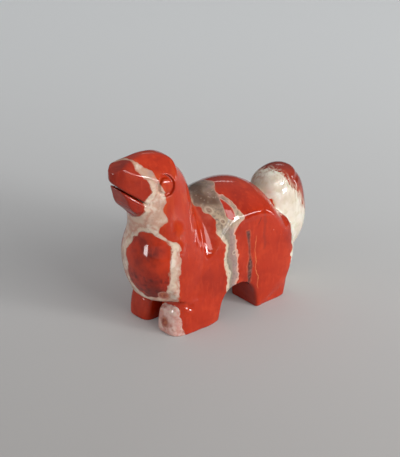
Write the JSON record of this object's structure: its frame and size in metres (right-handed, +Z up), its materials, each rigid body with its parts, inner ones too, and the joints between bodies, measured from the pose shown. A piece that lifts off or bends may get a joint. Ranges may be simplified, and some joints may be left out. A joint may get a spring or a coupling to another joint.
{
  "type": "stone dinosaur carving",
  "caption": "Small polished stone dinosaur standing on blunt feet, with a long neck, sawn open mouth, drilled ring eyes, arched belly opening and upright tail.",
  "frame": {"origin": "middle of the outer box, at the height of the soles", "axes": "+X from the head towards the tail, +Y towards the right flank, +Z up"},
  "size_m": [0.0502, 0.0178, 0.0386],
  "materials": {
    "main_red_jasper": "high polish, faintly mottled",
    "snout_red_jasper": "high polish",
    "jaw_red_jasper": "high polish",
    "chest_dark_jasper": "high polish, darker",
    "tail_red_jasper": "high polish",
    "brown_chip": "high polish",
    "pink_white_quartz": "high polish, milky",
    "rose_quartz": "high polish, milky",
    "smoky_chalcedony": "high polish, finely crystalline",
    "dark_flank_vein": "high polish",
    "cream_chalcedony": "high polish, fine streaks"
  },
  "bodies": {
    "root": {"neck_and_shoulder_jasper": "main_red_jasper", "snout_jasper": "snout_red_jasper", "lower_jaw_jasper": "jaw_red_jasper", "face_and_chest_vein": "pink_white_quartz", "chest_jasper": "chest_dark_jasper", "chest_chip": "brown_chip", "toe_quartz": "rose_quartz", "toe_chip": "brown_chip", "saddle_vein": "smoky_chalcedony", "saddle_lens_jasper": "snout_red_jasper", "flank_vein": "dark_flank_vein", "hindquarter_jasper": "main_red_jasper", "tail_vein": "cream_chalcedony", "tail_tip_jasper": "tail_red_jasper"}
  },
  "joints": []
}
